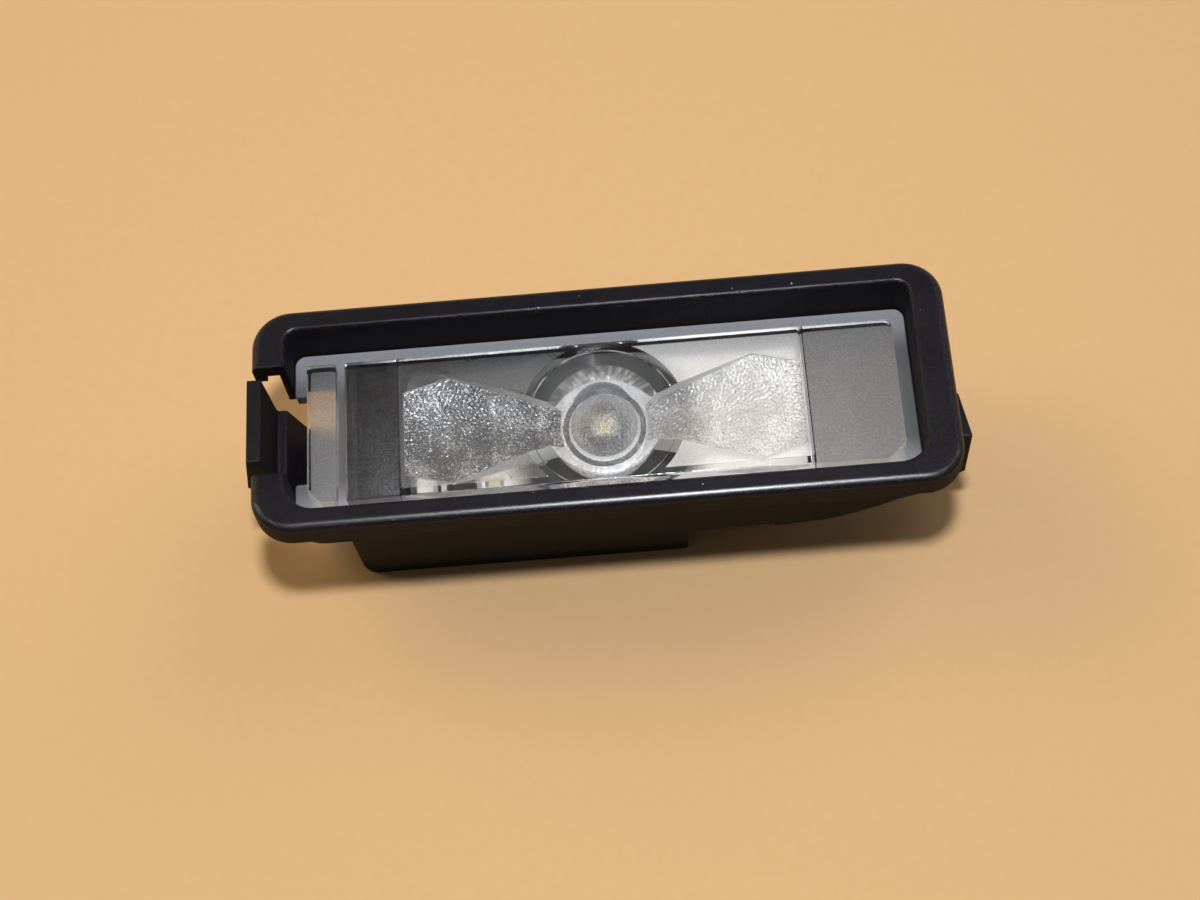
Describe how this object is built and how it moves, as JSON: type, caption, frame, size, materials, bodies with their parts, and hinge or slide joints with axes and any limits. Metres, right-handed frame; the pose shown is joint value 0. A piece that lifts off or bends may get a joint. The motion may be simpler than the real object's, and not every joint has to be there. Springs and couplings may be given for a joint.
{
  "type": "number plate lamp",
  "caption": "Snap-in number plate lamp: black moulded frame and housing with a sprung latch, a clear lens with moulded spreading optics, a board with a light source, and a plug socket.",
  "frame": {"origin": "middle of the lamp's box on the flat back of the deep box, on which the lamp lies", "axes": "+Z out of the lens, +X along the lamp from the sprung latch to the fixed nose, +Y towards the long side with the sharper corners in the lens opening"},
  "size_m": [0.0768, 0.026, 0.0182],
  "materials": {
    "black_plastic": "black moulded plastic with a fine spark-eroded grain, satin on the edges",
    "clear_lens": "clear moulded polycarbonate, polished face, grained pads and stippled optics",
    "board_laminate": "glass-fibre laminate with dark grey solder resist",
    "white_package": "white moulded package",
    "phosphor": "yellow phosphor in clear silicone",
    "tinned_metal": "tin-plated brass",
    "solder": "bright reflowed solder",
    "black_component": "black moulding compound with tinned ends",
    "capacitor_ceramic": "cream ceramic with tinned ends",
    "resistor_film": "black glaze on white ceramic with tinned ends"
  },
  "bodies": {
    "root": {"housing": "black_plastic", "lens": "clear_lens", "circuit_board": "board_laminate", "led_package": "white_package", "led_phosphor": "phosphor", "led_lead_left": "tinned_metal", "led_lead_right": "tinned_metal", "terminal_pin_near": "tinned_metal", "terminal_pin_far": "tinned_metal", "solder_joint_near": "solder", "solder_joint_far": "solder", "protection_diode": "black_component", "filter_capacitor": "capacitor_ceramic", "resistor_1": "resistor_film", "resistor_2": "resistor_film", "resistor_3": "resistor_film", "resistor_4": "resistor_film"}
  },
  "joints": []
}
